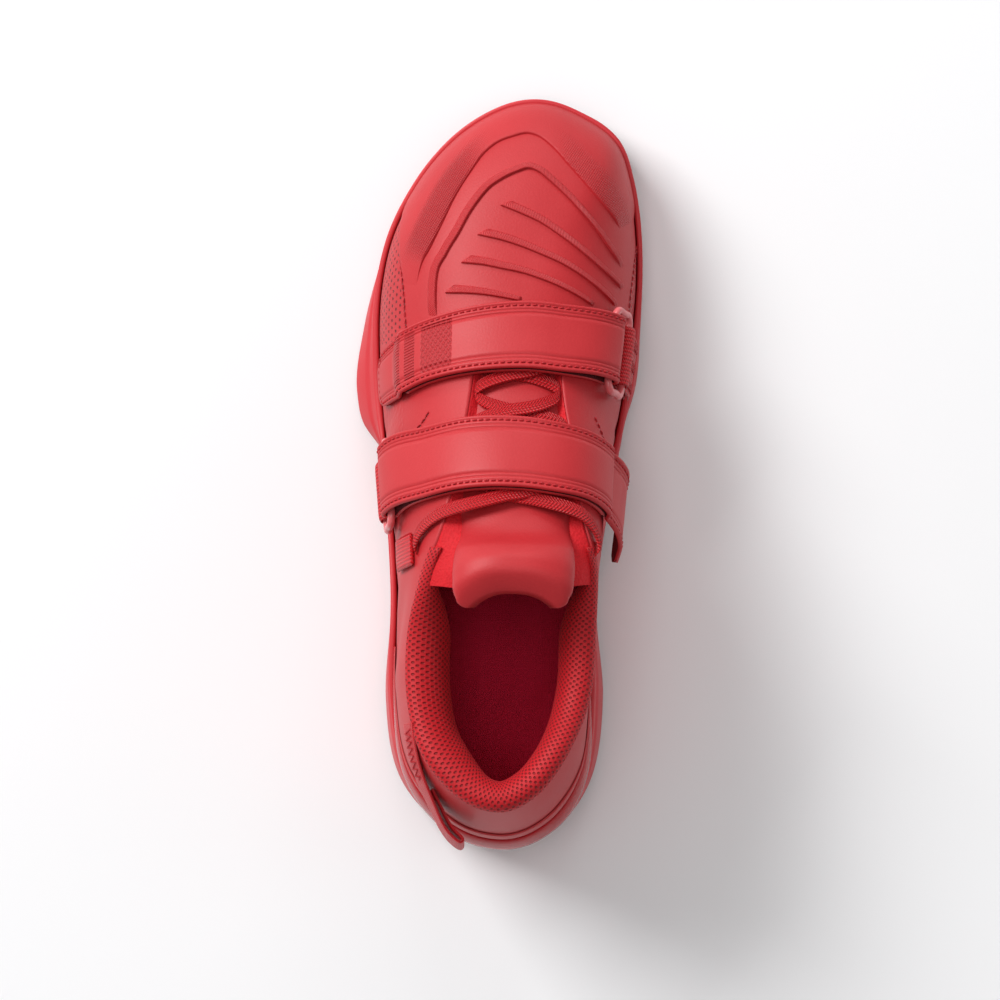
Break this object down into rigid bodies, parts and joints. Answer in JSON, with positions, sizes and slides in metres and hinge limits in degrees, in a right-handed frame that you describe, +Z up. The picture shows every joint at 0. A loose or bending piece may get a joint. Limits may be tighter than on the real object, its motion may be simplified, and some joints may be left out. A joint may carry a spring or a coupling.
{
  "type": "weightlifting shoe",
  "caption": "left weightlifting shoe with a raised stiff heel, hollow lasted upper, padded tongue, lace and two ring-and-hook straps",
  "frame": {"origin": "on the floor, under the middle of the shoe's outline", "axes": "+Y runs from the heel to the toe, +X to the inner (medial) side of this left shoe, +Z up"},
  "size_m": [0.1157, 0.3, 0.1205],
  "materials": {
    "outsole": "matt moulded rubber",
    "midsole": "matt moulded shell",
    "heel_clip": "glossy moulded",
    "upper": "matt synthetic leather",
    "collar_padding": "spacer mesh",
    "insole": "brushed knit",
    "tongue": "matt synthetic leather, padded",
    "lace": "flat woven",
    "forefoot_strap": "matt synthetic leather",
    "forefoot_ring": "satin paint",
    "forefoot_ring_webbing": "woven webbing",
    "instep_strap": "matt synthetic leather",
    "instep_ring": "satin paint",
    "instep_ring_webbing": "woven webbing",
    "pull_loop": "woven webbing"
  },
  "bodies": {
    "root": {"outsole": "outsole", "midsole": "midsole", "heel_clip": "heel_clip", "upper": "upper", "collar_padding": "collar_padding", "insole": "insole", "tongue": "tongue", "lace": "lace", "forefoot_strap": "forefoot_strap", "forefoot_ring": "forefoot_ring", "forefoot_ring_webbing": "forefoot_ring_webbing", "instep_strap": "instep_strap", "instep_ring": "instep_ring", "instep_ring_webbing": "instep_ring_webbing", "pull_loop": "pull_loop"}
  },
  "joints": []
}
